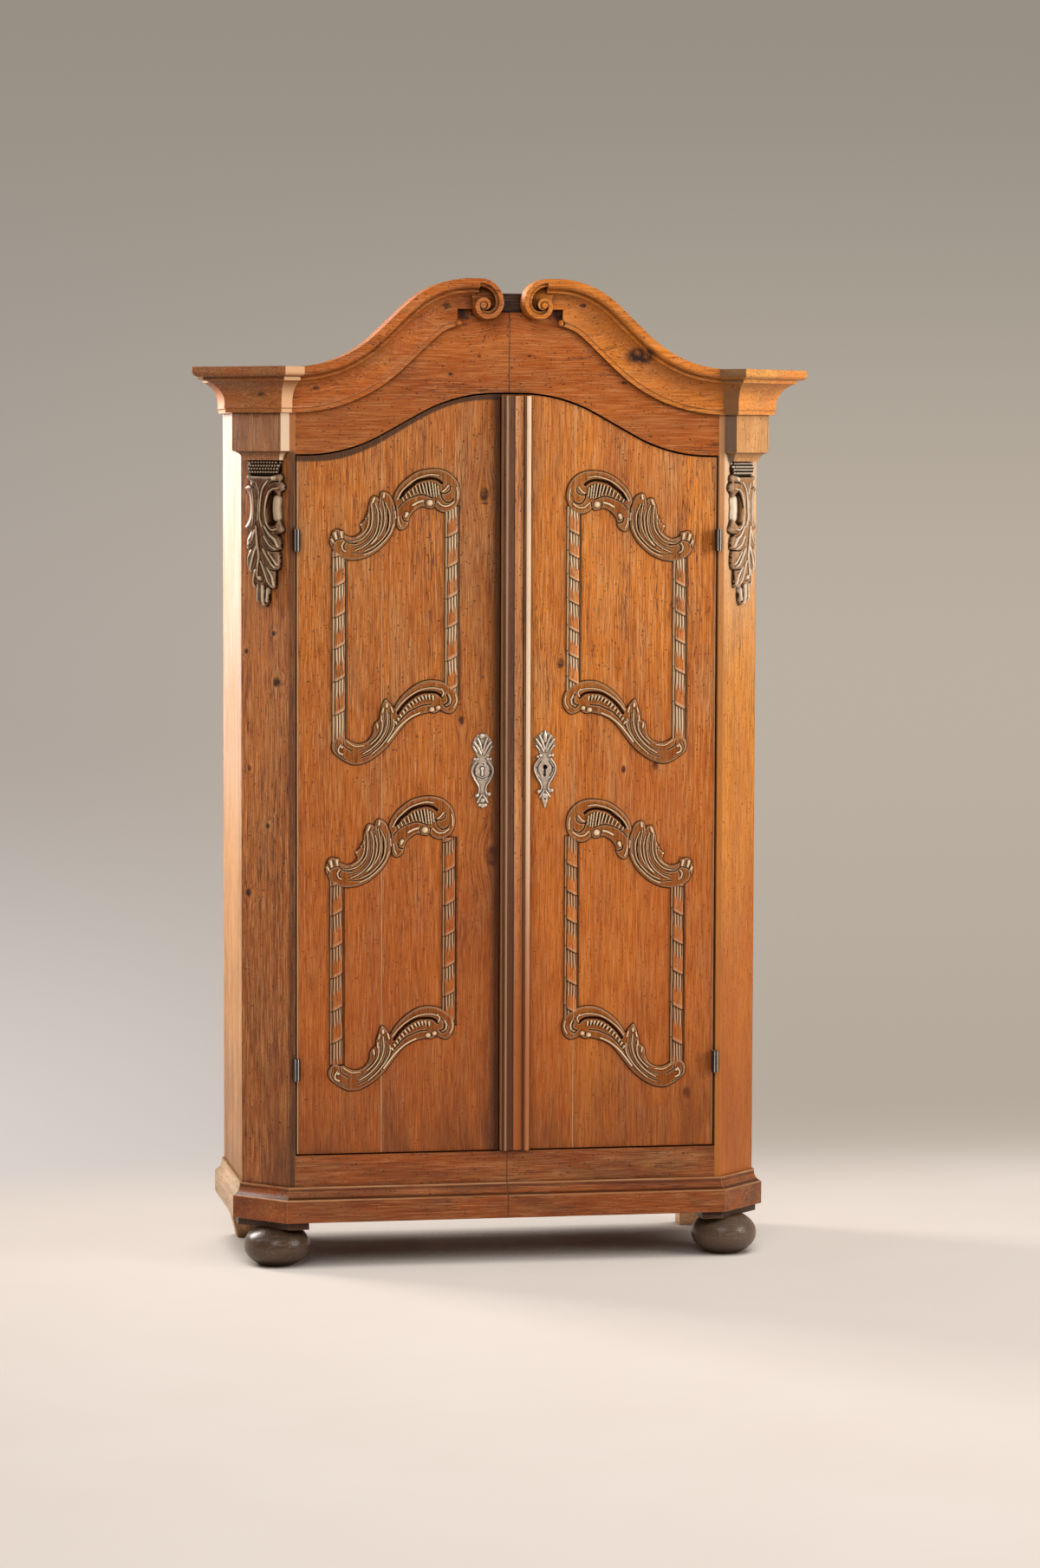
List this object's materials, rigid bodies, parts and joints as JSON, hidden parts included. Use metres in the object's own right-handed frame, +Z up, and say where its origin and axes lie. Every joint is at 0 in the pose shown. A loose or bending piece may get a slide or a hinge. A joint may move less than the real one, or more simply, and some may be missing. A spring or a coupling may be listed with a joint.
{
  "type": "two-door armoire",
  "caption": "Provincial pine armoire with arched doors on lift-off hinges, canted corner posts, carved pendants, a broken swan-neck cornice with volutes, a box lock, slide bolts and bun feet.",
  "frame": {"origin": "on the floor, under the middle of the overall width and depth", "axes": "+Z up, the doors face -Y, +X to the right of someone facing the doors"},
  "size_m": [1.3194, 0.5356, 2.08],
  "materials": {
    "pine": "waxed honey-coloured pine",
    "carved_pine": "waxed, darker carved pine",
    "dark_foot": "dark polished bun",
    "stained_block": "dark stained",
    "iron": "blackened wrought iron",
    "pewter_plate": "worn tinned iron plate"
  },
  "bodies": {
    "carcass": {"plinth_front_left": "pine", "plinth_front_right": "pine", "plinth_corner_left": "pine", "plinth_corner_right": "pine", "plinth_side_left": "pine", "plinth_side_right": "pine", "bottom_rail_left": "pine", "bottom_rail_right": "pine", "corner_post_left": "pine", "corner_post_right": "pine", "side_panel_left": "pine", "side_panel_right": "pine", "bottom_board_left": "pine", "bottom_board_right": "pine", "top_board_left": "pine", "top_board_right": "pine", "frieze_left": "pine", "frieze_right": "pine", "arch_cornice_left": "pine", "arch_cornice_right": "pine", "capital_left": "pine", "capital_right": "pine", "capital_cornice_left": "pine", "capital_cornice_right": "pine", "side_cornice_left": "pine", "side_cornice_right": "pine", "back_board_1": "pine", "back_board_2": "pine", "back_board_3": "pine", "hat_shelf": "pine", "shelf_cleats": "pine", "door_stops": "pine", "foot_back_left": "pine", "foot_back_right": "pine", "pendant_left": "carved_pine", "pendant_right": "carved_pine", "foot_front_left": "dark_foot", "foot_front_right": "dark_foot", "foot_block_left": "stained_block", "foot_block_right": "stained_block", "crown_block": "stained_block", "hinge_post_leaves": "iron", "hinge_pins": "iron"},
    "left_door": {"door_left_hinge_board": "pine", "door_left_meeting_board": "pine", "door_left_battens": "pine", "hinge_door_leaves_left": "iron", "escutcheon_left": "pewter_plate", "lock_keeper": "iron", "bolt_staples": "iron"},
    "right_door": {"door_right_hinge_board": "pine", "door_right_meeting_board": "pine", "door_right_battens": "pine", "hinge_door_leaves_right": "iron", "escutcheon_right": "pewter_plate", "lock_case": "iron", "astragal": "pine"},
    "lock_bolt": {"lock_bolt": "iron"},
    "upper_bolt": {"upper_bolt": "iron"},
    "lower_bolt": {"lower_bolt": "iron"}
  },
  "joints": [
    {"name": "left_door_hinge", "type": "hinge", "parent": "carcass", "child": "left_door", "pos_m": [-0.45, -0.17117, 1], "axis": [0, 0, -1], "range_deg": [0, 110]},
    {"name": "right_door_hinge", "type": "hinge", "parent": "carcass", "child": "right_door", "pos_m": [0.45, -0.17117, 1], "axis": [0, 0, 1], "range_deg": [0, 110]},
    {"name": "lock_bolt_slide", "type": "slide", "parent": "right_door", "child": "lock_bolt", "axis": [-1, 0, 0], "range_m": [0, 0.024]},
    {"name": "upper_bolt_slide", "type": "slide", "parent": "left_door", "child": "upper_bolt", "axis": [0, 0, 1], "range_m": [0, 0.024]},
    {"name": "lower_bolt_slide", "type": "slide", "parent": "left_door", "child": "lower_bolt", "axis": [0, 0, -1], "range_m": [0, 0.024]}
  ]
}
